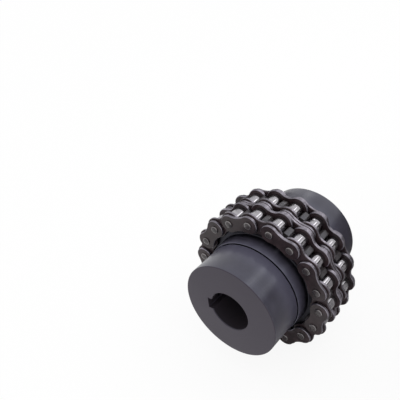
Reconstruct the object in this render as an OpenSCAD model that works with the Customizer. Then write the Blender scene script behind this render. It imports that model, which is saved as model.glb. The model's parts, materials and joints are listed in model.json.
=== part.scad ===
// Roller chain coupling: two toothed hubs, one on each shaft end, in a loop of two-strand roller chain.
// The shafts lie along X. Angles run from +Y towards +Z. Hub a is at -X, hub b at +X.

/* [Chain] */
// Distance from pin to pin along the chain
chain_pitch = 19.05; // [16:0.05:25.4]
// Pitches in the loop, and teeth on each hub
tooth_count = 18; // [16:2:20]
// Outer diameter of a roller
roller_d = 11.91; // [10:0.01:13]
// Clear width between the inner plates of one strand
inner_width = 12.57; // [10:0.01:18]
// Thickness of every link plate
plate_t = 2.42; // [1.6:0.01:3.2]
// Outer diameter of a bush
bush_d = 8.5; // [7.6:0.05:9.2]
// Diameter of a pin
pin_d = 5.94; // [4.6:0.02:6.8]
// Room between neighbouring inner plates, end to end
inner_plate_gap = 1.05; // [0.8:0.05:3]
// Room between neighbouring outer or middle plates, end to end
outer_plate_gap = 3.45; // [1.5:0.05:5]
// How far each side of an inner plate is hollowed at its waist
inner_waist = 2.7; // [1:0.1:3.5]
// How far each side of an outer or middle plate is hollowed at its waist
outer_waist = 1.9; // [1:0.1:3]
// Side play between plates that turn on each other
plate_play = 0.265; // [0.1:0.005:0.6]
// Side play between a roller and each inner plate
roller_end_gap = 0.15; // [0.05:0.05:0.6]
// Bevel on the rim of a roller
roller_bevel = 0.35; // [0.1:0.05:0.8]
// Radial clearance of a roller on its bush, and of a pin in its bush
running_gap = 0.05; // [0.02:0.01:0.1]

/* [Pin ends] */
// How far a riveted end is wider than its pin, all round
rivet_spread = 0.2; // [0.1:0.05:0.9]
// Height of a riveted end
rivet_h = 1.4; // [0.8:0.1:2.2]
// Height of its straight side, under its round top
rivet_side_h = 0.6; // [0.2:0.1:1]
// Thickness of the spring clip
clip_t = 1.2; // [0.8:0.1:1.8]
// Width of the clip's band round a pin
clip_band = 1.7; // [1.2:0.1:2.5]
// Depth of the clip's groove in a pin
groove_depth = 0.7; // [0.4:0.05:1]
// Clearance of the clip in its groove
clip_gap = 0.05; // [0.02:0.01:0.1]
// Length of a pin past its groove
button_h = 1; // [0.6:0.1:1.6]

/* [Teeth] */
// How far the tooth tips stand above the pitch circle
tip_h = 3.4; // [2.5:0.1:5]
// Room between a tooth and each inner plate
tooth_side_gap = 0.645; // [0.3:0.005:1.2]
// Turn of a hub from its middle until its teeth meet the rollers, in degrees
free_play = 0.4; // [0.1:0.05:0.8]
// Room left between tooth and roller at the end of that turn
flank_gap = 0.1; // [0.05:0.01:0.2]
// Slope of the upper flank of a tooth from the radius, in degrees
flank_slope = 36; // [16:1:40]
// Bevel of each side of a tooth, measured along the shaft at the tip
tip_relief = 1.4; // [0.6:0.1:3.5]

/* [Hubs] */
// Length of a hub
hub_length = 56; // [45:0.5:90]
// Room between the chain plates and the shoulder under them
shoulder_gap = 3.45; // [1:0.05:5]
// Length of the shoulder beyond the teeth
shoulder_length = 13.6; // [9:0.1:18]
// Height of the shoulder over the rest of the hub
shoulder_step = 0.9; // [0.5:0.1:4]
// Depth of the narrow groove turned at the foot of the shoulder
undercut = 0.8; // [0.2:0.1:1]
// Width of that groove
undercut_w = 0.7; // [0.3:0.1:1.5]
// Bevel on the rims of the hub
rim_bevel = 0.7; // [0.3:0.1:2]
// Bore for the shaft
bore_d = 34; // [25:1:38]
// Bevel at both ends of the bore
bore_bevel = 0.6; // [0.3:0.1:2]
// Width of the keyway
key_w = 10; // [8:0.5:12]
// Depth of the keyway, from the bore
key_depth = 3.3; // [2.5:0.1:4]
// Direction of the keyway, in degrees
key_angle = -5; // [-180:1:180]
// Diameter of the set screw over the keyway
screw_d = 8; // [6:1:8]
// Depth of the set screw's head under the hub's surface
screw_recess = 1.5; // [0.5:0.1:4]
// Room between the set screw's tip and the keyway
screw_tip_gap = 0.8; // [0.2:0.1:3]
// Width of the hexagon socket across its flats
hex_w = 4; // [3:0.5:5]
// Depth of the hexagon socket
hex_depth = 4.5; // [2:0.5:6]

/* [Hidden] */
$fn = 72;
step = 360 / tooth_count;
pitch_r = chain_pitch / (2 * sin(step / 2));
chord_r = pitch_r * cos(step / 2);

inner_plate_h = chain_pitch - inner_plate_gap;
outer_plate_h = chain_pitch - outer_plate_gap;
link_w = inner_width + 2 * plate_t;
strand_x = plate_t + plate_play + link_w / 2;
inner_side_x = strand_x - inner_width / 2;
outer_side_x = strand_x + inner_width / 2;
outer_plate_x = outer_side_x + plate_t + plate_play;
plate_face_x = outer_plate_x + plate_t;
// The hollow of a waist is a little flatter than the arc that would touch both round ends.
hollow_ease = 1.12;

pin_r = pin_d / 2;
rivet_r = pin_r + rivet_spread;
rivet_top_h = rivet_h - rivet_side_h;
rivet_ball_r = (rivet_r * rivet_r + rivet_top_h * rivet_top_h) / (2 * rivet_top_h);
groove_r = pin_r - groove_depth;
groove_w = clip_t + 2 * clip_gap;
// Width of the clip's slit, which springs open over a groove, as a share of the groove's radius
slit_share = 1.3;
// Links that pins join are odd, and the one that opens the chain is this one.
connecting_link = tooth_count - 3;

tooth_w = inner_width - 2 * tooth_side_gap;
face_x = strand_x - tooth_w / 2;
back_x = strand_x + tooth_w / 2;
shoulder_x = back_x + shoulder_length;
end_x = face_x + hub_length;
tip_r = pitch_r + tip_h;
seat_r = roller_d / 2 + pitch_r * sin(free_play) + flank_gap;
// The upper flank leaves the seat's arc a few degrees above the pitch line.
flank_start = 4;
relief_r = pitch_r - roller_d / 2;
shoulder_r = pitch_r - inner_plate_h / 2 - shoulder_gap;
hub_r = shoulder_r - shoulder_step;
shoulder_bevel = rim_bevel / 3;
bore_r = bore_d / 2;
screw_x = (shoulder_x + end_x) / 2;
screw_tip_r = bore_r + key_depth + screw_tip_gap;
screw_length = hub_r - screw_recess - screw_tip_r;
screw_bevel = 0.8;
// Cuts reach this far past the faces that they open.
cut = 1;

hub_colour = "#3d3c42";
plate_colour = "#4b4744";
steel_colour = "#c6c6c8";
pin_colour = "#57524e";

function roller_name(strand, k) = str("roller_", strand, k < 10 ? "_0" : "_", k);

// A profile of radius and length, turned about X
module turned() {
    rotate([0, 90, 0]) rotate_extrude() children();
}

// A flat outline with its own Y outwards, given its thickness along X
module cut_along_x(length) {
    rotate([0, 90, 0]) linear_extrude(length) children();
}

// Place at pin k
module at_pin(k) {
    rotate([k * step, 0, 0]) translate([0, pitch_r, 0]) children();
}

// Place midway between pin k and the next
module at_link(k) {
    rotate([(k + 0.5) * step, 0, 0]) translate([0, chord_r, 0]) children();
}

// Both pins of one link, in the plane of its plates
module at_link_ends() {
    for (side = [-1, 1]) translate([side * chain_pitch / 2, 0]) children();
}

// Two round ends joined by a waist with hollow sides, and a hole in each end
module plate_outline(height, waist, hole_d) {
    end_r = height / 2;
    waist_r = end_r - waist;
    touching_r = (pow(chain_pitch / 2, 2) + waist_r * waist_r - end_r * end_r) / (2 * waist);
    hollow_r = touching_r * hollow_ease;
    touch_h = end_r * (waist_r + touching_r) / (end_r + touching_r);
    difference() {
        union() {
            at_link_ends() circle(r = end_r);
            difference() {
                square([chain_pitch, 2 * touch_h], center = true);
                for (side = [-1, 1]) translate([0, side * (waist_r + hollow_r)]) circle(r = hollow_r);
            }
        }
        at_link_ends() circle(d = hole_d);
    }
}

// The plate of one link, from x outwards in the direction of +X
module inner_plate(k, x) {
    at_link(k) translate([x, 0, 0]) cut_along_x(plate_t) plate_outline(inner_plate_h, inner_waist, bush_d);
}

module outer_plate(k, x, hole_d) {
    at_link(k) translate([x, 0, 0]) cut_along_x(plate_t) plate_outline(outer_plate_h, outer_waist, hole_d);
}

// Every second plate round the loop
module inner_ring(x) {
    for (k = [0:2:tooth_count - 2]) inner_plate(k, x);
}

module middle_ring(x) {
    for (k = [1:2:tooth_count - 1]) outer_plate(k, x, pin_d + 2 * running_gap);
}

module outer_ring(x, left_out) {
    for (k = [1:2:tooth_count - 1]) if (k != left_out) outer_plate(k, x, pin_d);
}

module outer_plates_a() {
    color(plate_colour) outer_ring(-plate_face_x, connecting_link);
}

module outer_plates_b() {
    color(plate_colour) outer_ring(outer_plate_x, -1);
}

module middle_plates_a() {
    color(plate_colour) middle_ring(-plate_t);
}

module middle_plates_b() {
    color(plate_colour) middle_ring(0);
}

module inner_plates_a_outside() {
    color(plate_colour) inner_ring(-outer_side_x - plate_t);
}

module inner_plates_a_inside() {
    color(plate_colour) inner_ring(-inner_side_x);
}

module inner_plates_b_inside() {
    color(plate_colour) inner_ring(inner_side_x - plate_t);
}

module inner_plates_b_outside() {
    color(plate_colour) inner_ring(outer_side_x);
}

// A bush is pressed into both inner plates and ends flush with them.
module bushes(x) {
    for (k = [0:tooth_count - 1]) at_pin(k) translate([x, 0, 0]) turned() {
        translate([pin_r + running_gap, -link_w / 2]) square([bush_d / 2 - pin_r - running_gap, link_w]);
    }
}

module bushes_a() {
    color(pin_colour) bushes(-strand_x);
}

module bushes_b() {
    color(pin_colour) bushes(strand_x);
}

module roller(strand, k) {
    half = inner_width / 2 - roller_end_gap;
    outer_r = roller_d / 2;
    inner_r = bush_d / 2 + running_gap;
    x = strand == "a" ? -strand_x : strand_x;
    color(steel_colour) at_pin(k - 1) translate([x, 0, 0]) turned() polygon([
        [inner_r, -half], [outer_r - roller_bevel, -half], [outer_r, -half + roller_bevel],
        [outer_r, half - roller_bevel], [outer_r - roller_bevel, half], [inner_r, half]
    ]);
}

// Low head with a round top that the end of a pin is hammered into, standing on the outer plate
module rivet_outline() {
    intersection() {
        translate([0, rivet_h - rivet_ball_r]) circle(r = rivet_ball_r);
        square([rivet_r, rivet_h]);
    }
}

module shank_outline(low, high, r) {
    translate([0, low]) square([r, high - low]);
}

module riveted_pin() {
    turned() {
        shank_outline(-plate_face_x, plate_face_x, pin_r);
        translate([0, plate_face_x]) rivet_outline();
        mirror([0, 1]) translate([0, plate_face_x]) rivet_outline();
    }
}

// Riveted at one end, with a groove for the clip and a button past it at the other
module grooved_pin() {
    groove_x = -plate_face_x - groove_w;
    turned() {
        shank_outline(-plate_face_x, plate_face_x, pin_r);
        translate([0, plate_face_x]) rivet_outline();
        shank_outline(groove_x, -plate_face_x, groove_r);
        shank_outline(groove_x - button_h, groove_x, pin_r);
    }
}

module link_pins() {
    color(pin_colour) for (k = [0:tooth_count - 1]) {
        if (k != connecting_link && k != connecting_link + 1) at_pin(k) riveted_pin();
    }
}

module connecting_pins() {
    color(pin_colour) for (k = [connecting_link, connecting_link + 1]) at_pin(k) grooved_pin();
}

// The plate that is lifted off to open the chain is an easy fit on its pins.
module connecting_plate() {
    color(plate_colour) outer_plate(connecting_link, -plate_face_x, pin_d + 2 * running_gap);
}

// Flat spring with a seat for each groove, closed at one end and slit at the other
module clip_outline() {
    seat_r = groove_r + clip_gap;
    band_r = seat_r + clip_band;
    slit_w = slit_share * groove_r;
    difference() {
        union() {
            at_link_ends() circle(r = band_r);
            square([chain_pitch, 2 * band_r - clip_band / 2], center = true);
        }
        at_link_ends() circle(r = seat_r);
        translate([-chain_pitch / 2, -slit_w / 2]) square([chain_pitch + 2 * band_r, slit_w]);
    }
}

module spring_clip() {
    color(steel_colour) at_link(connecting_link) {
        translate([-plate_face_x - clip_gap - clip_t, 0, 0]) cut_along_x(clip_t) clip_outline();
    }
}

// Room for one roller between two teeth: a round seat that opens outwards
module tooth_gap() {
    start = seat_r * [cos(flank_start), sin(flank_start)];
    along = [sin(flank_slope), cos(flank_slope)];
    low = start - along * seat_r / 4;
    high = start + along * (tip_h + cut) / cos(flank_slope);
    translate([0, pitch_r]) {
        circle(r = seat_r);
        polygon([[-low[0], low[1]], low, high, [-high[0], high[1]]]);
    }
}

module tooth_outline() {
    difference() {
        circle(r = tip_r);
        for (k = [0:tooth_count - 1]) rotate(k * step) tooth_gap();
    }
}

// Toothed disc whose teeth thin towards their tips
module toothed_disc() {
    beyond_r = tip_r + cut;
    relief = tip_relief * (beyond_r - relief_r) / (tip_r - relief_r);
    intersection() {
        translate([face_x - cut, 0, 0]) cut_along_x(tooth_w + 2 * cut) tooth_outline();
        turned() polygon([
            [0, face_x], [relief_r, face_x], [beyond_r, face_x + relief],
            [beyond_r, back_x - relief], [relief_r, back_x], [0, back_x]
        ]);
    }
}

// Hub barrel, from inside the toothed disc to the free end
module barrel() {
    turned() polygon([
        [0, strand_x], [shoulder_r, strand_x], [shoulder_r, shoulder_x - shoulder_bevel],
        [shoulder_r - shoulder_bevel, shoulder_x], [hub_r - undercut, shoulder_x],
        [hub_r - undercut, shoulder_x + undercut_w], [hub_r, shoulder_x + undercut_w],
        [hub_r, end_x - rim_bevel], [hub_r - rim_bevel, end_x], [0, end_x]
    ]);
}

module bore_cut() {
    mouth_r = bore_r + bore_bevel + cut;
    turned() polygon([
        [0, face_x - cut], [mouth_r, face_x - cut], [bore_r, face_x + bore_bevel],
        [bore_r, end_x - bore_bevel], [mouth_r, end_x + cut], [0, end_x + cut]
    ]);
}

module keyway_cut() {
    rotate([key_angle, 0, 0]) translate([face_x - cut, 0, -key_w / 2]) {
        cube([hub_length + 2 * cut, bore_r + key_depth, key_w]);
    }
}

// Place on the set screw's line, at radius r, with +Z outwards
module at_screw(r) {
    rotate([key_angle, 0, 0]) translate([screw_x, r, 0]) rotate([-90, 0, 0]) children();
}

module hub() {
    color(hub_colour) difference() {
        union() {
            toothed_disc();
            barrel();
        }
        bore_cut();
        keyway_cut();
        at_screw(bore_r) cylinder(d = screw_d, h = hub_r);
    }
}

module hub_a() {
    mirror([1, 0, 0]) hub();
}

module hub_b() {
    hub();
}

module set_screw() {
    r = screw_d / 2;
    color(pin_colour) at_screw(screw_tip_r) difference() {
        rotate_extrude() polygon([
            [0, 0], [r - screw_bevel, 0], [r, screw_bevel],
            [r, screw_length - screw_bevel], [r - screw_bevel, screw_length], [0, screw_length]
        ]);
        translate([0, 0, screw_length - hex_depth]) {
            cylinder(d = hex_w / cos(30), h = hex_depth + cut, $fn = 6);
        }
    }
}

module set_screw_a() {
    mirror([1, 0, 0]) set_screw();
}

module set_screw_b() {
    set_screw();
}

hub_a();
hub_b();
set_screw_a();
set_screw_b();
outer_plates_a();
outer_plates_b();
middle_plates_a();
middle_plates_b();
inner_plates_a_outside();
inner_plates_a_inside();
inner_plates_b_inside();
inner_plates_b_outside();
bushes_a();
bushes_b();
link_pins();
connecting_pins();
connecting_plate();
spring_clip();
for (strand = ["a", "b"], k = [1:tooth_count]) {
    roller(strand, k);
}
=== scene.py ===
import json
import math

import bmesh
import bpy
from mathutils import Matrix, Vector, geometry


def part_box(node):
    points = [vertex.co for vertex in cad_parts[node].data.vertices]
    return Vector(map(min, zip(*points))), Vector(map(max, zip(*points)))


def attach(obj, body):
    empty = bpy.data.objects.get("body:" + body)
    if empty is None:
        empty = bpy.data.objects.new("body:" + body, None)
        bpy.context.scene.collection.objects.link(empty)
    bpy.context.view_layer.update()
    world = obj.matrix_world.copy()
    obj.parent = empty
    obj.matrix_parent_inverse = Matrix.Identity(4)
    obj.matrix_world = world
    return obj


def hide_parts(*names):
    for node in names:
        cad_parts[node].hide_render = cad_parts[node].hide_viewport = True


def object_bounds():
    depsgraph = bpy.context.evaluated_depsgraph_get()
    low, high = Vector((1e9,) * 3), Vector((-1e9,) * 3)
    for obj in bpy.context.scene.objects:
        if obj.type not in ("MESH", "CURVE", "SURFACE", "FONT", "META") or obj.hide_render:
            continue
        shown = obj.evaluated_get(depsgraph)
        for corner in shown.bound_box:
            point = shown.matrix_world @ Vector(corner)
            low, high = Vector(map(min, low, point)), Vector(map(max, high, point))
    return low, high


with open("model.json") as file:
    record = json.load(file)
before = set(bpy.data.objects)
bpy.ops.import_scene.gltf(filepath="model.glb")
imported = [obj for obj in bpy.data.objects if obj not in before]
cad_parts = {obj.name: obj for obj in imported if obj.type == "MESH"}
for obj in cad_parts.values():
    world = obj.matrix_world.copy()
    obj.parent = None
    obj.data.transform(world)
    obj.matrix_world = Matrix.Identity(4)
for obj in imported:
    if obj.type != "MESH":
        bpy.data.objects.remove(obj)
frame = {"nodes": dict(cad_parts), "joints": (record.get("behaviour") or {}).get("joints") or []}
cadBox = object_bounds()
mm = 0.001
toMm = 1000.0
print("frame loaded with", len(frame["nodes"]), "nodes")

# The loop of the chain, read from the rollers' own axes
rollerAxes = {j["child"]: Vector(j["pos_m"]) for j in frame["joints"] if j.get("continuous")}
pitchCount = sum(name.startswith("roller_a") for name in rollerAxes)
pitchRadius = math.hypot(rollerAxes["roller_a_01"].y, rollerAxes["roller_a_01"].z)
stepAngle = 2 * math.pi / pitchCount
chainPitch = 2 * pitchRadius * math.sin(stepAngle / 2)
chordRadius = pitchRadius * math.cos(stepAngle / 2)
connectingLink = pitchCount - 3  # first pin of the link that opens
nextLink = connectingLink + 2


# A socket that can be added and multiplied in plain Python, and that makes every other node
class Wire:
    def __init__(self, tree, socket=None):
        self.tree = tree
        self.socket = socket

    def make(self, kind, settings=None, inputs=None, out=0):
        node = self.tree.nodes.new(kind)
        for key, value in (settings or {}).items():
            setattr(node, key, value)
        for key, value in (inputs or {}).items():
            if isinstance(value, Wire):
                self.tree.links.new(value.socket, node.inputs[key])
            else:
                node.inputs[key].default_value = value
        return Wire(self.tree, node.outputs[out] if node.outputs else None)

    def other(self, out):
        return Wire(self.tree, self.socket.node.outputs[out])

    def sum(self, operation, first, second=0.0):
        return self.make("ShaderNodeMath", {"operation": operation}, {0: first, 1: second})

    def __add__(self, value):
        return self.sum("ADD", self, value)

    def __radd__(self, value):
        return self.sum("ADD", value, self)

    def __sub__(self, value):
        return self.sum("SUBTRACT", self, value)

    def __rsub__(self, value):
        return self.sum("SUBTRACT", value, self)

    def __mul__(self, value):
        return self.sum("MULTIPLY", self, value)

    def __rmul__(self, value):
        return self.sum("MULTIPLY", value, self)

    def __pow__(self, value):
        return self.sum("POWER", self, value)

    def clamp(self):
        return self.make("ShaderNodeClamp", {}, {"Value": self})

    # 0 below low, 1 above high, smooth between
    def rise(self, low, high):
        span = {"Value": self, "From Min": low, "From Max": high}
        return self.make("ShaderNodeMapRange", {"interpolation_type": "SMOOTHSTEP"}, span)

    # From the first colour to the second by this wire
    def tint(self, first, second):
        return self.make("ShaderNodeMix", {"data_type": "RGBA"}, {0: self, 6: first, 7: second}, 2)


def opaque(colour):
    return (*colour, 1.0)


# Materials

def newMaterial(name, metallic):
    material = bpy.data.materials.new(name)
    material.use_nodes = True
    wire = Wire(material.node_tree)
    shader = material.node_tree.nodes["Principled BSDF"]
    shader.inputs["Metallic"].default_value = metallic
    return material, wire, shader


def plug(wire, shader, name):
    wire.tree.links.new(wire.socket, shader.inputs[name])


def noise(wire, vector, scale, detail=2.0):
    return wire.make("ShaderNodeTexNoise", {}, {"Vector": vector, "Scale": scale, "Detail": detail})


def placeOn(wire):
    return wire.make("ShaderNodeTexCoord", out="Object")


# The place's x, from which other(1) and other(2) give y and z
def xOf(place):
    return place.make("ShaderNodeSeparateXYZ", {}, {"Vector": place})


# A noise about its middle, made this wide
def swing(noiseWire, width):
    return (noiseWire - 0.5) * width


bumpDepth = 0.1 * mm


def roughen(wire, shader, height, strength):
    values = {"Strength": strength, "Distance": bumpDepth, "Height": height}
    plug(wire.make("ShaderNodeBump", {}, values), shader, "Normal")


hubFinish = {
    "dark": (0.030, 0.027, 0.039),
    "light": (0.046, 0.042, 0.060),
    "stepLight": (0.082, 0.079, 0.113),  # painted light: the barrel lighter towards the shoulder
    "faceHueAndShade": (0.027, 0.017, 0.024),  # the free end: more purple-brown, and darker as painted shade
    "toothTint": (0.044, 0.038, 0.039),
    # painted shade inside the bore
    "boreShade": (0.021, 0.017, 0.021),
    "grooveAndRootShade": (0.010, 0.009, 0.011),  # painted shade, near black
    "gloss": 0.5,
    "glossTint": (0.74, 0.80, 1.0),
    "oil": 0.45,  # thin clear film on the barrel
    "oilRoughness": 0.24,
    "roughness": 0.36,
    "lineRough": 0.10,
    "blotchRough": 0.12,
    "mottle": 55.0,  # blotches per metre
    "lineScale": 1.3,  # turning marks per mm
    "lineBump": 0.10,
    "blotchTone": 0.75,  # shares in the colour
    "lineTone": 0.25,
    "toneSpan": (0.32, 0.68),
    "faceX": (61.2, 61.6),  # mm from the middle, where the free end starts
    "toothX": (16.6, 17.6),
    "stepX": (23.0, 33.0),
    "barrelX": (33.0, 52.0),
    "boreR": (20.6, 21.0),
    "rootX": (16.8, 17.0),  # painted shadow on the shoulder, beside the chain
    "rootFade": (18.0, 24.0),
    "rootShade": 0.75,
    "grooveStart": (30.3, 30.7),  # painted shade in the groove at the shoulder's end
    "grooveX": (31.2, 31.3),
    "grooveR": (42.1, 42.25),
}


def hubSteel():
    material, wire, shader = newMaterial("blackenedHubSteel", 0.0)
    place = placeOn(wire)
    x = xOf(place)
    y, z = x.other(1), x.other(2)
    along, radius = x * toMm, (y * y + z * z) ** 0.5 * toMm
    section = wire.make("ShaderNodeCombineXYZ", {}, {0: along, 1: radius})
    lines = noise(wire, section, hubFinish["lineScale"], detail=3.0)
    blotch = noise(wire, place, hubFinish["mottle"], detail=4.0)
    tone = blotch * hubFinish["blotchTone"] + lines * hubFinish["lineTone"]
    tone = tone.rise(*hubFinish["toneSpan"])
    colour = tone.tint(opaque(hubFinish["dark"]), opaque(hubFinish["light"]))
    reach = wire.sum("ABSOLUTE", along)
    # Painted light: the barrel is made lighter towards the shoulder
    stepLightMask = reach.rise(*hubFinish["stepX"]) * (1.0 - reach.rise(*hubFinish["barrelX"]))
    colour = stepLightMask.tint(colour, opaque(hubFinish["stepLight"]))
    # The free end gets a purple-brown hue and is darkened as painted shade
    colour = reach.rise(*hubFinish["faceX"]).tint(colour, opaque(hubFinish["faceHueAndShade"]))
    colour = reach.rise(*hubFinish["toothX"]).tint(opaque(hubFinish["toothTint"]), colour)
    outside = radius.rise(*hubFinish["boreR"])
    behindFace = 1.0 - reach.rise(*hubFinish["faceX"])
    inside = (1.0 - outside) * behindFace
    # Painted shade darkens the inside of the bore
    colour = inside.tint(colour, opaque(hubFinish["boreShade"]))
    groove = reach.rise(*hubFinish["grooveStart"]) * (1.0 - reach.rise(*hubFinish["grooveX"]))
    groove = groove * (1.0 - radius.rise(*hubFinish["grooveR"]))
    root = reach.rise(*hubFinish["rootX"]) * (1.0 - reach.rise(*hubFinish["rootFade"]))
    # Painted shade: near black in the groove and on the shoulder beside the chain; Metallic is
    # raised there so that it reflects little
    paintedShade = (groove + root * hubFinish["rootShade"]) * outside
    plug(paintedShade.tint(colour, opaque(hubFinish["grooveAndRootShade"])), shader, "Base Color")
    plug(paintedShade, shader, "Metallic")
    rough = swing(lines, hubFinish["lineRough"]) + swing(blotch, hubFinish["blotchRough"])
    plug(hubFinish["roughness"] + rough, shader, "Roughness")
    roughen(wire, shader, lines, hubFinish["lineBump"])
    oiled = outside * behindFace * (1.0 - paintedShade) * hubFinish["oil"]
    plug(oiled, shader, "Coat Weight")
    shader.inputs["Coat Roughness"].default_value = hubFinish["oilRoughness"]
    shader.inputs["Specular IOR Level"].default_value = hubFinish["gloss"]
    shader.inputs["Specular Tint"].default_value = opaque(hubFinish["glossTint"])
    return material


# Dark oxide on the faces, bare steel where the attribute "edge" says so
plateFinish = {
    "dark": (0.020, 0.013, 0.0145),
    "light": (0.046, 0.030, 0.034),
    "edgeDark": (0.17, 0.159, 0.184),
    "edgeLight": (0.35, 0.328, 0.378),
    "wallWear": 0.95,  # how bare the cut sides are
    "openWear": 1.0,  # bevels in the open, rubbed bare
    "seamWear": 0.0,  # bevels against the next plate, full of oily dirt
    "gloss": 0.32,
    "roughness": 0.34,
    "grain": 900.0,  # per metre
    "blotch": 130.0,
}
pinFinish = {
    "dark": (0.022, 0.018, 0.020),
    "light": (0.055, 0.045, 0.047),
    "edgeDark": (0.16, 0.15, 0.155),
    "edgeLight": (0.34, 0.32, 0.325),
    "gloss": 0.5,
    "roughness": 0.28,
    "grain": 1500.0,
    "blotch": 260.0,
}
oxide = {
    "blotchTone": 0.7,  # shares in the colour
    "grainTone": 0.3,
    "linkTone": 0.18,  # how much one link differs from the next
    "toneSpan": (0.30, 0.70),
    "leastWear": 0.75,
    "grainWear": 0.5,
    "grainRough": 0.2,
    "blotchRough": 0.16,
    "bump": 0.12,
}


def oxideSteel(name, finish):
    material, wire, shader = newMaterial(name, 0.0)
    place = placeOn(wire)
    own = wire.make("ShaderNodeAttribute", {"attribute_name": "shade"}, out="Fac")
    edge = wire.make("ShaderNodeAttribute", {"attribute_name": "edge"}, out="Fac")
    blotch = noise(wire, place, finish["blotch"], detail=4.0)
    grain = noise(wire, place, finish["grain"])
    tone = blotch * oxide["blotchTone"] + grain * oxide["grainTone"]
    tone = (tone + swing(own, oxide["linkTone"])).rise(*oxide["toneSpan"])
    face = tone.tint(opaque(finish["dark"]), opaque(finish["light"]))
    bare = tone.tint(opaque(finish["edgeDark"]), opaque(finish["edgeLight"]))
    worn = (edge * (oxide["leastWear"] + grain * oxide["grainWear"])).clamp()
    plug(worn.tint(face, bare), shader, "Base Color")
    plug(worn, shader, "Metallic")
    rough = swing(grain, oxide["grainRough"]) + swing(blotch, oxide["blotchRough"])
    plug(finish["roughness"] + rough, shader, "Roughness")
    roughen(wire, shader, grain + blotch, oxide["bump"])
    shader.inputs["Specular IOR Level"].default_value = finish["gloss"]
    return material


rollerFinish = {
    "dark": (0.31, 0.300, 0.318),
    "light": (0.45, 0.437, 0.462),
    "roughness": 0.085,
    "lineScale": 2.2,  # grinding marks per mm
    "smudge": 210.0,  # per metre
    "lineTone": 0.5,  # shares in the colour
    "smudgeTone": 0.5,
    "toneSpan": (0.30, 0.62),
    "lineRough": 0.08,
    "smudgeRough": 0.06,
    "bump": 0.06,
}


def rollerSteel():
    material, wire, shader = newMaterial("polishedRollerSteel", 1.0)
    place = placeOn(wire)
    along = wire.make("ShaderNodeCombineXYZ", {}, {0: xOf(place) * toMm})
    lines = noise(wire, along, rollerFinish["lineScale"], detail=3.0)
    smudge = noise(wire, place, rollerFinish["smudge"], detail=3.0)
    tone = lines * rollerFinish["lineTone"] + smudge * rollerFinish["smudgeTone"]
    tone = tone.rise(*rollerFinish["toneSpan"])
    colour = tone.tint(opaque(rollerFinish["dark"]), opaque(rollerFinish["light"]))
    plug(colour, shader, "Base Color")
    rough = swing(lines, rollerFinish["lineRough"]) + swing(smudge, rollerFinish["smudgeRough"])
    plug(rollerFinish["roughness"] + rough, shader, "Roughness")
    roughen(wire, shader, lines, rollerFinish["bump"])
    return material


screwFinish = {"dark": (0.030, 0.030, 0.034), "light": (0.070, 0.070, 0.078), "roughness": 0.42}
clipFinish = {"dark": (0.15, 0.145, 0.14), "light": (0.30, 0.29, 0.285), "roughness": 0.28}
smallFinish = {
    "blotch": 260.0,  # per metre
    "grain": 1500.0,
    "blotchTone": 0.6,  # shares in the colour
    "grainTone": 0.4,
    "toneSpan": (0.34, 0.66),
    "grainRough": 0.2,
    "bump": 0.15,
}


def plainSteel(name, finish):
    material, wire, shader = newMaterial(name, 1.0)
    place = placeOn(wire)
    blotch = noise(wire, place, smallFinish["blotch"], detail=3.0)
    grain = noise(wire, place, smallFinish["grain"])
    tone = blotch * smallFinish["blotchTone"] + grain * smallFinish["grainTone"]
    tone = tone.rise(*smallFinish["toneSpan"])
    plug(tone.tint(opaque(finish["dark"]), opaque(finish["light"])), shader, "Base Color")
    rough = finish["roughness"] + swing(grain, smallFinish["grainRough"])
    plug(rough, shader, "Roughness")
    roughen(wire, shader, grain, smallFinish["bump"])
    return material


steels = {
    "hub": hubSteel(),
    "plate": oxideSteel("bluedPlateSteel", plateFinish),
    "roller": rollerSteel(),
    "pin": oxideSteel("hardenedPinSteel", pinFinish),
    "screw": plainSteel("blackScrewSteel", screwFinish),
    "clip": plainSteel("springClipSteel", clipFinish),
}
print("materials made:", len(steels))


# Mesh helpers

mergeDistance = 1e-7
axisRadius = 1e-9  # a point closer than this is on the axis
sharpDeg = 32.0


def newPiece(name, mesh):
    piece = bpy.data.objects.new(name, mesh)
    bpy.context.scene.collection.objects.link(piece)
    return piece


def meshOf(name, points, faces):
    mesh = bpy.data.meshes.new(name)
    mesh.from_pydata(points, [], faces)
    shape = bmesh.new()
    shape.from_mesh(mesh)
    bmesh.ops.remove_doubles(shape, verts=shape.verts, dist=mergeDistance)
    bmesh.ops.recalc_face_normals(shape, faces=shape.faces)
    shape.to_mesh(mesh)
    shape.free()
    return mesh


# Rounds the edges that turn by more than the angle
def softEdges(piece, width, angleDeg):
    soft = piece.modifiers.new("softEdges", "BEVEL")
    soft.width = width
    soft.segments = 2
    soft.limit_method = "ANGLE"
    soft.angle_limit = math.radians(angleDeg)


# The modifiers' result becomes the piece's own plain mesh
def settle(piece):
    graph = bpy.context.evaluated_depsgraph_get()
    made = piece.evaluated_get(graph)
    plain = bpy.data.meshes.new_from_object(made, preserve_all_data_layers=True, depsgraph=graph)
    piece.modifiers.clear()
    piece.data = plain
    plain.name = piece.name
    plain.shade_smooth()
    plain.set_sharp_from_angle(angle=math.radians(sharpDeg))


def arc(centre, radius, startDeg, endDeg, steps):
    angles = [math.radians(startDeg + (endDeg - startDeg) * i / steps) for i in range(steps + 1)]
    return [(centre[0] + radius * math.cos(a), centre[1] + radius * math.sin(a)) for a in angles]


# Faces between rows of points that each go once round
def joinRows(rows):
    faces = []
    for low, high in zip(rows, rows[1:]):
        for i in range(len(low)):
            j = (i + 1) % len(low)
            corners = list(dict.fromkeys((low[i], low[j], high[j], high[i])))
            if len(corners) > 2:
                faces.append(corners)
    return faces


# Profile of (x, radius) turned about X; it closes on itself unless it starts and ends on the axis
def turnedMesh(name, profile, segments):
    points, rows = [], []
    turns = [2 * math.pi * i / segments for i in range(segments)]
    for x, r in profile:
        if r < axisRadius:
            rows.append([len(points)] * segments)
            points.append((x, 0.0, 0.0))
        else:
            rows.append(list(range(len(points), len(points) + segments)))
            points += [(x, r * math.cos(t), r * math.sin(t)) for t in turns]
    if profile[0][1] > axisRadius:
        rows.append(rows[0])
    return meshOf(name, points, joinRows(rows))


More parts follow.
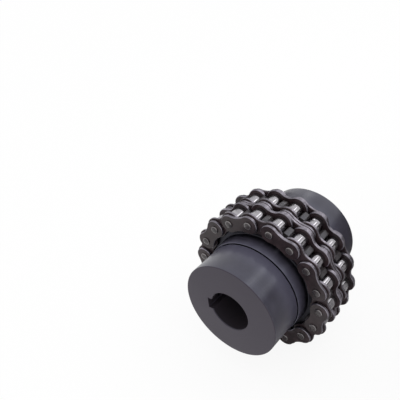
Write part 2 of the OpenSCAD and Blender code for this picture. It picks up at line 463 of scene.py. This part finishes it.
# Geometry Nodes: the piece's own mesh, repeated round the loop of the chain
loopInputs = {
    "Count": "NodeSocketInt",
    "First": "NodeSocketFloat",
    "Every": "NodeSocketFloat",
    "Step Angle": "NodeSocketFloat",
    "Radius": "NodeSocketFloat",
    "Along": "NodeSocketFloat",
    "Side Play": "NodeSocketFloat",
    "Seed": "NodeSocketInt",
    "Material": "NodeSocketMaterial",
}
loopUsual = {"Step Angle": stepAngle, "Every": 1.0, "Side Play": 0.0}
shadeSeed = 7.0  # added to the seed, so that shade and side play differ


def loopTree():
    tree = bpy.data.node_groups.new("roundTheChain", "GeometryNodeTree")
    tree.interface.new_socket("Geometry", in_out="INPUT", socket_type="NodeSocketGeometry")
    for name, kind in loopInputs.items():
        tree.interface.new_socket(name, in_out="INPUT", socket_type=kind)
    tree.interface.new_socket("Geometry", in_out="OUTPUT", socket_type="NodeSocketGeometry")
    given = Wire(tree).make("NodeGroupInput")
    index = given.make("GeometryNodeInputIndex")
    angle = (given.other("First") + given.other("Every") * index) * given.other("Step Angle")

    def draw(low, high, seed):
        values = {2: low, 3: high, "Seed": seed}
        return given.make("FunctionNodeRandomValue", {"data_type": "FLOAT"}, values, 1)

    shake = draw(-1.0, 1.0, given.other("Seed"))
    shade = draw(0.0, 1.0, given.other("Seed") + shadeSeed)
    place = given.make("ShaderNodeCombineXYZ", {}, {
        0: given.other("Along") + shake * given.other("Side Play"),
        1: given.other("Radius") * given.sum("COSINE", angle),
        2: given.other("Radius") * given.sum("SINE", angle),
    })
    spots = given.make("GeometryNodePoints", {}, {"Count": given.other("Count"), "Position": place})
    turn = given.make("ShaderNodeCombineXYZ", {}, {0: angle})
    turn = given.make("FunctionNodeEulerToRotation", {}, {0: turn})
    onSpots = {"Points": spots, "Instance": given, "Rotation": turn}
    copies = given.make("GeometryNodeInstanceOnPoints", {}, onSpots)
    onCopies = {"data_type": "FLOAT", "domain": "INSTANCE"}
    mark = {"Geometry": copies, "Name": "shade", "Value": shade}
    marked = given.make("GeometryNodeStoreNamedAttribute", onCopies, mark)
    real = given.make("GeometryNodeRealizeInstances", {}, {"Geometry": marked})
    finish = {"Geometry": real, "Material": given.other("Material")}
    dressed = given.make("GeometryNodeSetMaterial", {}, finish)
    given.make("NodeGroupOutput", {}, {"Geometry": dressed})
    return tree


chainTree = loopTree()
chainItems = chainTree.interface.items_tree
chainSockets = {item.name: item.identifier for item in chainItems if item.in_out == "INPUT"}


def roundTheChain(name, mesh, values, body, nodes):
    piece = newPiece(name, mesh)
    modifier = piece.modifiers.new("roundTheChain", "NODES")
    modifier.node_group = chainTree
    for key, value in {**loopUsual, **values}.items():
        modifier[chainSockets[key]] = value
    settle(piece)
    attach(piece, body)
    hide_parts(*nodes)


# Link plates

linkPlate = {
    "innerWaist": 2.7 * mm,
    "outerWaist": 1.9 * mm,
    "edgeRound": 0.4 * mm,
    "roundSteps": 1,
    "arcSteps": 18,
    "holeSegments": 32,
    "sidePlay": 0.07 * mm,
    "openSides": {  # the side that lies against no other plate
        "outer_plates_a": ["low"],
        "connecting_plate": ["low"],
        "inner_plates_a_outside": ["high"],
        "inner_plates_a_inside": ["low"],
        "inner_plates_b_inside": ["high"],
        "inner_plates_b_outside": ["low"],
        "outer_plates_b": ["high"],
    },
}


# Points of the outline, each with its outward direction: round ends and hollow waists that touch
def plateOutline(endRadius, depth):
    half = chainPitch / 2
    waist = endRadius - depth
    hollow = (half * half + waist * waist - endRadius * endRadius) / (2 * depth)
    touch = math.degrees(math.atan2(waist + hollow, -half))
    steps = linkPlate["arcSteps"]
    outline = []
    for side in (1, -1):
        turn = 0.0 if side > 0 else 180.0
        for p in arc((side * half, 0.0), endRadius, turn - touch, turn + touch, steps)[:-1]:
            outline.append((Vector(p), (Vector(p) - Vector((side * half, 0.0))) / endRadius))
        middle = Vector((0.0, side * (waist + hollow)))
        opening = 180.0 - touch
        base = -opening if side > 0 else 180.0 - opening
        for p in arc(middle, hollow, base, base - 2 * (90.0 - opening), steps // 2)[:-1]:
            outline.append((Vector(p), (middle - Vector(p)) / hollow))
    return outline


def plateMesh(name, thickness, endRadius, depth, holeRadius, openSides):
    outline = plateOutline(endRadius, depth)
    count = len(outline)
    soft, steps = linkPlate["edgeRound"], linkPlate["roundSteps"]
    turns = [math.radians(90.0 * i / steps) for i in range(steps + 1)]
    layers = [(soft * (1 - math.cos(t)), soft * (1 - math.sin(t))) for t in turns]
    layers += [(thickness - x, inset) for x, inset in reversed(layers)]
    points, rows = [], []
    for x, inset in layers:
        rows.append(list(range(len(points), len(points) + count)))
        points += [(x, *(p - out * inset).yx) for p, out in outline]
    faces = joinRows(rows)
    bevels = [plateFinish["openWear" if s in openSides else "seamWear"] for s in ("low", "high")]
    wear = [bevels[0]] * (count * steps) + [plateFinish["wallWear"]] * count
    wear += [bevels[1]] * (count * steps)
    holes = {}
    segments = linkPlate["holeSegments"]
    ring = [2 * math.pi * i / segments for i in range(segments)]
    for end in (-1, 1):
        middle = end * chainPitch / 2
        for x in (0.0, thickness):
            holes[end, x] = list(range(len(points), len(points) + segments))
            for t in ring:
                points.append((x, holeRadius * math.sin(t), middle + holeRadius * math.cos(t)))
        faces += joinRows([holes[end, 0.0], holes[end, thickness]])
    for x, row in ((0.0, rows[0]), (thickness, rows[-1])):
        loops = [row, holes[-1, x], holes[1, x]]
        order = [i for one in loops for i in one]
        flat = [[Vector((0.0, *points[i][1:])) for i in one] for one in loops]
        filled = geometry.tessellate_polygon(flat)
        faces += [[order[i] for i in triangle] for triangle in filled]
    mesh = bpy.data.meshes.new(name)
    mesh.from_pydata(points, [], faces)
    edge = mesh.attributes.new("edge", "FLOAT", "FACE")
    edge.data.foreach_set("value", wear + [0.0] * (len(faces) - len(wear)))
    shape = bmesh.new()
    shape.from_mesh(mesh)
    bmesh.ops.recalc_face_normals(shape, faces=shape.faces)
    shape.to_mesh(mesh)
    shape.free()
    return mesh


def plateRing(name, node, first, holeRadius, count, seed, play=True):
    low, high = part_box(node)
    onPins = first % 2 == 1
    sample = "outer_plates_b" if onPins else "inner_plates_a_outside"
    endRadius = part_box(sample)[1].y - pitchRadius
    waist = linkPlate["outerWaist" if onPins else "innerWaist"]
    openSides = linkPlate["openSides"].get(node, [])
    mesh = plateMesh(name, high.x - low.x, endRadius, waist, holeRadius, openSides)
    values = {
        "Count": count, "First": first + 0.5, "Every": 2.0, "Radius": chordRadius,
        "Along": low.x, "Side Play": linkPlate["sidePlay"] if play else 0.0,
        "Seed": seed, "Material": steels["plate"],
    }
    roundTheChain(name, mesh, values, "chain", [node])


pinRadius = 2.97 * mm
bushRadius = 4.25 * mm
linkCount = pitchCount // 2
innerPlates = [node for node in frame["nodes"] if node.startswith("inner_plates")]
for seed, node in enumerate(innerPlates, 11):
    plateRing("roller_link_" + node, node, 0, bushRadius, linkCount, seed)
plateRing("pin_link_outer_plates_b", "outer_plates_b", 1, pinRadius, linkCount, seed=21)
for seed, node in enumerate(("middle_plates_a", "middle_plates_b"), 22):
    plateRing("pin_link_" + node, node, 1, pinRadius, linkCount, seed, play=False)
# The near row starts past the link that opens and stops before it
plateRing("pin_link_outer_plates_a", "outer_plates_a", nextLink, pinRadius, linkCount - 1, seed=24)
plateRing("removable_plate", "connecting_plate", connectingLink, pinRadius, 1, seed=25, play=False)
print("link plates made")


# Pins and bushes

rivetedPin = {
    "segments": 40,
    "headRadius": 3.17 * mm,
    "headHeight": 1.4 * mm,
    "headSide": 0.6 * mm,
    "soft": 0.3 * mm,
    "softSteps": 4,
    "softEndDeg": 20,  # slope where the soft corner meets the round top
    "capRings": (0.8, 0.6, 0.4, 0.2, 0.0),
    "bareSoft": 0.75,  # how far the bare steel reaches into the soft corner
}


# Head of a pin with a straight side, a soft corner and a low round top
def pinHead(faceX):
    r, soft = rivetedPin["headRadius"], rivetedPin["soft"]
    side, top = faceX + rivetedPin["headSide"], faceX + rivetedPin["headHeight"]
    corner = arc((side, r - soft), soft, 90, rivetedPin["softEndDeg"], rivetedPin["softSteps"])
    x, edge = corner[-1]
    cap = [(x + (top - x) * (1 - t * t), edge * t) for t in rivetedPin["capRings"]]
    return [(faceX, r)] + corner + cap


# Bare steel on the sides of the heads, dark tops
def markPins(mesh):
    edge = mesh.attributes.new("edge", "FLOAT", "POINT")
    bare = rivetedPin["headRadius"] - rivetedPin["bareSoft"] * rivetedPin["soft"]
    radii = [math.hypot(v.co.y, v.co.z) for v in mesh.vertices]
    edge.data.foreach_set("value", [float(r > bare) for r in radii])
    return mesh


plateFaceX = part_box("outer_plates_b")[1].x
far = [(plateFaceX, pinRadius)] + pinHead(plateFaceX)
near = [(-x, r) for x, r in reversed(far)]
pinMesh = markPins(turnedMesh("riveted_pins", near + far, rivetedPin["segments"]))
pinValues = {
    "Count": pitchCount - 2, "First": float(nextLink), "Radius": pitchRadius, "Along": 0.0,
    "Seed": 31, "Material": steels["pin"],
}
roundTheChain("riveted_pins", pinMesh, pinValues, "chain", ["link_pins"])

grooved = {"grooveRadius": 2.27 * mm, "grooveWidth": 1.3 * mm, "buttonBevel": 0.35 * mm}
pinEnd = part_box("connecting_pins")[0].x
bevel = grooved["buttonBevel"]
grooveRadius = grooved["grooveRadius"]
grooveEnd = -plateFaceX - grooved["grooveWidth"]
nearEnd = [
    (pinEnd, 0.0), (pinEnd, pinRadius - bevel), (pinEnd + bevel, pinRadius),
    (grooveEnd, pinRadius), (grooveEnd, grooveRadius),
    (-plateFaceX, grooveRadius), (-plateFaceX, pinRadius),
]
groovedMesh = markPins(turnedMesh("grooved_pins", nearEnd + far, rivetedPin["segments"]))
groovedValues = {**pinValues, "Count": 2, "First": float(connectingLink), "Seed": 32}
roundTheChain("grooved_pins", groovedMesh, groovedValues, "chain", ["connecting_pins"])

bush = {"segments": 40, "pinGap": 0.05 * mm}
bushBore = pinRadius + bush["pinGap"]
bushValues = {**pinValues, "Count": pitchCount, "First": 0.0, "Seed": 33}
for side in "ab":
    name, node = "bushes_of_strand_" + side, "bushes_" + side
    low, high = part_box(node)
    wall = [(low.x, bushBore), (low.x, bushRadius), (high.x, bushRadius), (high.x, bushBore)]
    bushMesh = turnedMesh(name, wall, bush["segments"])
    roundTheChain(name, bushMesh, bushValues, "chain", [node])
print("pins and bushes made")


# Rollers, one piece on each body

chainRoller = {"segments": 72, "rimRound": 0.4 * mm, "rimSteps": 3, "bore": 4.3 * mm}


def rollerProfile(length, radius):
    half, soft, steps = length / 2, chainRoller["rimRound"], chainRoller["rimSteps"]
    high = arc((half - soft, radius - soft), soft, 0, 90, steps)
    low = arc((-half + soft, radius - soft), soft, 90, 180, steps)
    return [(half, chainRoller["bore"])] + high + low + [(-half, chainRoller["bore"])]


for seed, (node, axis) in enumerate(sorted(rollerAxes.items()), 40):
    low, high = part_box(node)
    profile = rollerProfile(high.x - low.x, (high.y - low.y) / 2)
    rollerMesh = turnedMesh(node, profile, chainRoller["segments"])
    spot = math.atan2(axis.z, axis.y) / stepAngle
    rollerValues = {
        "Count": 1, "First": spot, "Radius": pitchRadius, "Along": axis.x,
        "Seed": seed, "Material": steels["roller"],
    }
    roundTheChain("turning_" + node, rollerMesh, rollerValues, node, [node])
print("rollers made:", len(rollerAxes))


# Hubs

hub = {
    "rollerSeat": 6.438 * mm,  # radius of the round seat between two teeth
    "flankStartDeg": 4.0,
    "flankSlopeDeg": 36.0,
    "reliefRadius": 48.9 * mm,
    "tipRelief": 1.4 * mm,
    "toothWidth": 11.28 * mm,
    "shoulderRadius": 42.4 * mm,
    "shoulderLength": 13.6 * mm,
    "shoulderBevel": 0.25 * mm,
    "rootFillet": 1.0 * mm,
    "barrelRadius": 41.5 * mm,
    "undercut": 0.8 * mm,
    "undercutWidth": 0.7 * mm,
    "rimRound": 0.65 * mm,
    "boreRadius": 17.0 * mm,
    "boreBevel": 0.6 * mm,
    "keyWidth": 10.0 * mm,
    "keyDepth": 3.3 * mm,
    "keyDeg": -5.0,
    "screwRadius": 4.0 * mm,
    "screwMargin": 0.8 * mm,  # even skin beside the screw hole, so that its shading stays even
    "drillReach": 1.2,  # in barrel radii
    "drillSegments": 48,
    "toolMargin": 2 * mm,
    "edgeSoft": 0.3 * mm,
    "softDeg": 38,
    "flatEnd": 0.9999,  # a face that looks along the shaft this much is an end
    "seatSteps": 9,
    "flankSteps": 5,
    "tipSteps": 4,
    "reliefSteps": 8,
    "cornerSteps": 3,
    "rimSteps": 4,
}


# One pitch of the teeth as (angle, radius), from seat bottom to seat bottom
def toothPitch(tipRadius):
    seat = hub["rollerSeat"]
    start = math.radians(hub["flankStartDeg"])
    slope = math.radians(hub["flankSlopeDeg"])
    half = []
    for i in range(hub["seatSteps"] + 1):
        a = -math.pi / 2 + (math.pi / 2 + start) * i / hub["seatSteps"]
        half.append((seat * math.cos(a), pitchRadius + seat * math.sin(a)))
    foot = Vector(half[-1])
    along = Vector((math.sin(slope), math.cos(slope)))
    back = foot.dot(along)
    reach = -back + math.sqrt(back * back + tipRadius ** 2 - foot.length_squared)
    steps, tips = hub["flankSteps"], hub["tipSteps"]
    half += [tuple(foot + along * reach * i / steps) for i in range(1, steps + 1)]
    half = [(math.atan2(u, v), math.hypot(u, v)) for u, v in half]
    corner = half[-1][0]
    for i in range(1, tips + 1):
        half.append((corner + (stepAngle / 2 - corner) * i / tips, tipRadius))
    return half + [(stepAngle - a, r) for a, r in reversed(half[1:-1])]


# The set screw stands halfway along the barrel
def screwPlace(faceX, endX):
    return (faceX + hub["toothWidth"] + hub["shoulderLength"] + endX) / 2


# Rows of the hub's skin, from the bore at its inner face round the outside and back
def hubRows(faceX, endX, tipRadius):
    pitchPoints = toothPitch(tipRadius)
    teeth = [(a + stepAngle * k, r) for k in range(pitchCount) for a, r in pitchPoints]
    even = [2 * math.pi * i / len(teeth) for i in range(len(teeth))]
    backX = faceX + hub["toothWidth"]
    shoulderX = backX + hub["shoulderLength"]
    relief, low = hub["tipRelief"], hub["reliefRadius"]
    bore, bite = hub["boreRadius"], hub["boreBevel"]
    shoulder, barrel, rim = hub["shoulderRadius"], hub["barrelRadius"], hub["rimRound"]

    def plain(x, r):
        return [(x, r * math.cos(a), r * math.sin(a)) for a in even]

    def toothed(x, depth):
        limit = low + (tipRadius - low) * depth
        return [(x, min(r, limit) * math.cos(a), min(r, limit) * math.sin(a)) for a, r in teeth]

    steps, turns = hub["reliefSteps"], hub["cornerSteps"]
    depths = [i / steps for i in range(steps + 1)]
    rows = [plain(faceX + bite, bore), plain(faceX, bore + bite), plain(faceX, shoulder)]
    rows += [toothed(faceX + relief * d, d) for d in depths]
    rows += [toothed(backX - relief * d, d) for d in reversed(depths)]
    fillet, edge = hub["rootFillet"], hub["shoulderBevel"]
    foot = arc((backX + fillet, shoulder + fillet), fillet, 180, 270, turns)
    corner = arc((shoulderX - edge, shoulder - edge), edge, 90, 0, turns)
    rows += [plain(x, r) for x, r in foot + corner]
    groove, grooveX = barrel - hub["undercut"], shoulderX + hub["undercutWidth"]
    rows += [plain(shoulderX, groove), plain(grooveX, groove), plain(grooveX, barrel)]
    screwX, beside = screwPlace(faceX, endX), hub["screwRadius"] + hub["screwMargin"]
    rows += [plain(screwX - beside, barrel), plain(screwX + beside, barrel)]
    rounded = arc((endX - rim, barrel - rim), rim, 90, 0, hub["rimSteps"])
    rows += [plain(x, r) for x, r in rounded]
    rows += [plain(endX, bore + bite), plain(endX - bite, bore)]
    return rows


def cutter(name, points, faces):
    tool = newPiece(name, meshOf(name, points, faces))
    tool.data.transform(Matrix.Rotation(math.radians(hub["keyDeg"]), 4, "X"))
    return tool


def boxCorners(low, high):
    xs, ys, zs = zip(low, high)
    points = [(x, y, z) for x in xs for y in ys for z in zs]
    ends = [(0, 1, 3, 2), (4, 6, 7, 5)]
    return points, ends + [(0, 4, 5, 1), (2, 3, 7, 6), (0, 2, 6, 4), (1, 5, 7, 3)]


# Round tool that points outwards along +Y
def rodPoints(x, radius, low, high):
    segments = hub["drillSegments"]
    turns = [2 * math.pi * i / segments for i in range(segments)]
    circle = [(x + radius * math.cos(t), radius * math.sin(t)) for t in turns]
    points = [(u, y, v) for y in (low, high) for u, v in circle]
    first, second = list(range(segments)), list(range(segments, 2 * segments))
    return points, joinRows([first, second]) + [first[::-1], second]


def makeHub(side):
    node = "hub_" + side
    low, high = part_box("hub_b")
    faceX, endX = low.x, high.x
    rows = hubRows(faceX, endX, high.z)
    width = len(rows[0])
    order = [list(range(i * width, (i + 1) * width)) for i in range(len(rows))]
    mesh = meshOf("keyed_" + node, [p for row in rows for p in row], joinRows(order + [order[0]]))
    piece = newPiece("keyed_" + node, mesh)
    bore, margin, keyHalf = hub["boreRadius"], hub["toolMargin"], hub["keyWidth"] / 2
    keyLow = (faceX - margin, 0.0, -keyHalf)
    keyHigh = (endX + margin, bore + hub["keyDepth"], keyHalf)
    key = cutter("keyTool", *boxCorners(keyLow, keyHigh))
    drillEnd = hub["drillReach"] * hub["barrelRadius"]
    rod = rodPoints(screwPlace(faceX, endX), hub["screwRadius"], bore, drillEnd)
    drill = cutter("screwTool", *rod)
    for tool in (key, drill):
        cut = piece.modifiers.new(tool.name, "BOOLEAN")
        cut.object = tool
        cut.operation = "DIFFERENCE"
        cut.solver = "EXACT"
    softEdges(piece, hub["edgeSoft"], hub["softDeg"])
    mesh.materials.append(steels["hub"])
    settle(piece)
    for face in piece.data.polygons:
        face.use_smooth = abs(face.normal.x) < hub["flatEnd"]
    for tool in (key, drill):
        bpy.data.objects.remove(tool)
    if side == "a":
        piece.data.transform(Matrix.Scale(-1, 4, (1, 0, 0)))
        piece.data.flip_normals()
    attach(piece, node)
    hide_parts(node)


for side in "ab":
    makeHub(side)
print("hubs made")


# Pieces that keep their own solids, with softened edges

smallPieces = {
    "set_screw_a": ("screw", 0.12 * mm),
    "set_screw_b": ("screw", 0.12 * mm),
    "spring_clip": ("clip", 0.18 * mm),
}
smallMesh = {"weld": 1e-6, "flatDeg": 1, "softDeg": 40}
for node, (steel, width) in smallPieces.items():
    piece = frame["nodes"][node]
    weld = piece.modifiers.new("weld", "WELD")
    weld.merge_threshold = smallMesh["weld"]
    flat = piece.modifiers.new("flat", "DECIMATE")
    flat.decimate_type = "DISSOLVE"
    flat.angle_limit = math.radians(smallMesh["flatDeg"])
    softEdges(piece, width, smallMesh["softDeg"])
    for i in range(len(piece.material_slots)):
        piece.material_slots[i].material = steels[steel]
print("small pieces dressed:", len(smallPieces))


# Floor, light and camera

studio = {
    "floorSize": 6.0,
    "floorColour": (0.95, 0.95, 0.95),
    "floorGlow": 0.9,  # share of plain white where the floor is seen
    "white": (1.0, 1.0, 1.0),
    "glowStrength": 1.0,
    "skyStrength": 1.0,
}


def makeFloor():
    half = studio["floorSize"] / 2
    z = cadBox[0].z
    corners = [(-half, -half, z), (half, -half, z), (half, half, z), (-half, half, z)]
    floor = newPiece("studio_floor", meshOf("studio_floor", corners, [(0, 1, 2, 3)]))
    material = bpy.data.materials.new("paleFloor")
    material.use_nodes = True
    tree = material.node_tree
    tree.nodes.clear()
    wire = Wire(tree)
    rays = wire.make("ShaderNodeLightPath", out="Is Camera Ray")
    seen = rays.sum("MAXIMUM", rays.other("Is Glossy Ray"), rays.other("Is Transmission Ray"))
    seen = rays.sum("MAXIMUM", rays, seen)
    matt = wire.make("ShaderNodeBsdfDiffuse", {}, {"Color": opaque(studio["floorColour"])})
    shine = {"Color": opaque(studio["white"]), "Strength": studio["glowStrength"]}
    glow = wire.make("ShaderNodeEmission", {}, shine)
    mixed = wire.make("ShaderNodeMixShader", {}, {0: seen * studio["floorGlow"], 1: matt, 2: glow})
    wire.make("ShaderNodeOutputMaterial", {}, {"Surface": mixed})
    floor.data.materials.append(material)


def makeWorld():
    world = bpy.data.worlds.new("studioWorld")
    bpy.context.scene.world = world
    world.use_nodes = True
    tree = world.node_tree
    tree.nodes.clear()
    wire = Wire(tree)
    sky = {"Color": opaque(studio["white"]), "Strength": studio["skyStrength"]}
    back = wire.make("ShaderNodeBackground", {}, sky)
    wire.make("ShaderNodeOutputWorld", {}, {"Surface": back})


# Long softboxes over the coupling, each at an angle from +Y about the shaft
softboxes = {
    "nearBar": {
        "angle": 110.0, "along": 0.12, "distance": 0.36,
        "size": (0.42, 0.058), "brightness": 2.1,  # as seen, where the sky is 1
    },
    "farBar": {
        "angle": 58.0, "along": 0.47, "distance": 0.39,
        "size": (0.16, 0.13), "brightness": 1.8,
    },
    "sideBar": {
        "angle": 139.0, "along": 0.105, "distance": 0.36,
        "size": (0.39, 0.045), "brightness": 1.0,
    },
}


def makeSoftbox(name, box):
    lamp = bpy.data.lights.new(name, "AREA")
    lamp.shape = "RECTANGLE"
    lamp.size, lamp.size_y = box["size"]
    lamp.energy = box["brightness"] * math.pi * lamp.size * lamp.size_y
    turn = math.radians(box["angle"])
    way = Vector((0.0, math.cos(turn), math.sin(turn)))
    lampObject = bpy.data.objects.new(name, lamp)
    shaft = Vector((1, 0, 0))
    aim = Matrix((shaft, way.cross(shaft), way)).transposed().to_4x4()
    place = way * box["distance"] + shaft * box["along"]
    lampObject.matrix_world = Matrix.Translation(place) @ aim
    lampObject.visible_camera = False
    bpy.context.scene.collection.objects.link(lampObject)


# Cards beside the coupling that the camera cannot see: an upright one and one that lies
# at its foot share these values, and a leaning one stands behind
card = {
    "y": -0.15,
    "foot": 0.0,
    "high": 0.103,
    "start": -0.06,
    "end": 0.70,
    "topColour": (0.09, 0.085, 0.085),
    "lowColour": (0.50, 0.49, 0.49),
    "slant": 0.0,  # how much the change of colour climbs along the shaft
    "change": (0.062, 0.074),  # heights between the two colours
    "lowEnd": (0.108, 0.120),  # the pale part ends here along the shaft
}
backCard = {
    "y": 0.16,
    "bend": 0.12,  # height above which it leans along the shaft
    "high": 0.55,
    "lowX": (0.105, 0.205),
    "highX": (0.40, 0.57),
    "lowColour": (0.03, 0.03, 0.03),
    "topColour": (0.95, 0.95, 0.95),
    "slant": 1.0,
    "change": (-0.075, 0.03),
}
cloth = {
    "threads": 400.0,  # per metre
    "least": 0.9,
    "spread": 0.2,
    "roughness": 0.9,
    "floorGap": 0.5 * mm,
}


def makeCard(name, points, finish, seenByMatt):
    faces = [(i, i + 1, i + 3, i + 2) for i in range(0, len(points) - 2, 2)]
    piece = newPiece(name, meshOf(name, points, faces))
    material, wire, shader = newMaterial(name + "Cloth", 0.0)
    place = placeOn(wire)
    along = xOf(place)
    weave = cloth["least"] + noise(wire, place, cloth["threads"]) * cloth["spread"]
    low = 1.0 - (along.other(2) - along * finish["slant"]).rise(*finish["change"])
    if "lowEnd" in finish:
        low = low * (1.0 - along.rise(*finish["lowEnd"]))
    colour = low.tint(opaque(finish["topColour"]), opaque(finish["lowColour"]))
    woven = wire.make("ShaderNodeVectorMath", {"operation": "SCALE"}, {0: colour, "Scale": weave})
    plug(woven, shader, "Base Color")
    shader.inputs["Roughness"].default_value = cloth["roughness"]
    piece.data.materials.append(material)
    piece.visible_camera = piece.visible_shadow = False
    piece.visible_diffuse = seenByMatt


def makeCards():
    foot = cadBox[0].z + cloth["floorGap"]
    side, span = card["y"], (card["start"], card["end"])
    makeCard("upright_card", [(x, side, z) for z in (foot, card["high"]) for x in span], card, True)
    # The lying card is a sheet over the floor beside the coupling that only reflections see:
    # painted shade of the floor, grey near the coupling and dark further along the shaft
    makeCard("floor_shade_card", [(x, y, foot) for y in (card["foot"], side) for x in span], card, False)
    levels = ((foot, "lowX"), (backCard["bend"], "lowX"), (backCard["high"], "highX"))
    leaning = [(x, backCard["y"], z) for z, key in levels for x in backCard[key]]
    makeCard("back_card", leaning, backCard, False)


view = {
    "place": (-281.39 * mm, -170.72 * mm, 305.68 * mm),
    "yawDeg": 48.80,  # from +Y towards +X
    "pitchDeg": -35.62,
    "rollDeg": -3.97,
    "lens": 47.636,
    "sensor": 36.0,
    "clip": (0.01, 20.0),
}


def makeCamera():
    data = bpy.data.cameras.new("photoView")
    data.sensor_width = view["sensor"]
    data.sensor_fit = "HORIZONTAL"
    data.lens = view["lens"]
    data.clip_start, data.clip_end = view["clip"]
    camera = bpy.data.objects.new("photoView", data)
    turn = Matrix.Rotation(-math.radians(view["yawDeg"]), 4, "Z")
    tilt = Matrix.Rotation(math.radians(90 + view["pitchDeg"]), 4, "X")
    roll = Matrix.Rotation(math.radians(view["rollDeg"]), 4, "Z")
    camera.matrix_world = Matrix.Translation(view["place"]) @ turn @ tilt @ roll
    bpy.context.scene.collection.objects.link(camera)
    bpy.context.scene.camera = camera


makeFloor()
makeWorld()
makeCards()
for name, box in softboxes.items():
    makeSoftbox(name, box)
makeCamera()
bpy.context.scene.view_settings.view_transform = "Standard"
print("studio made")
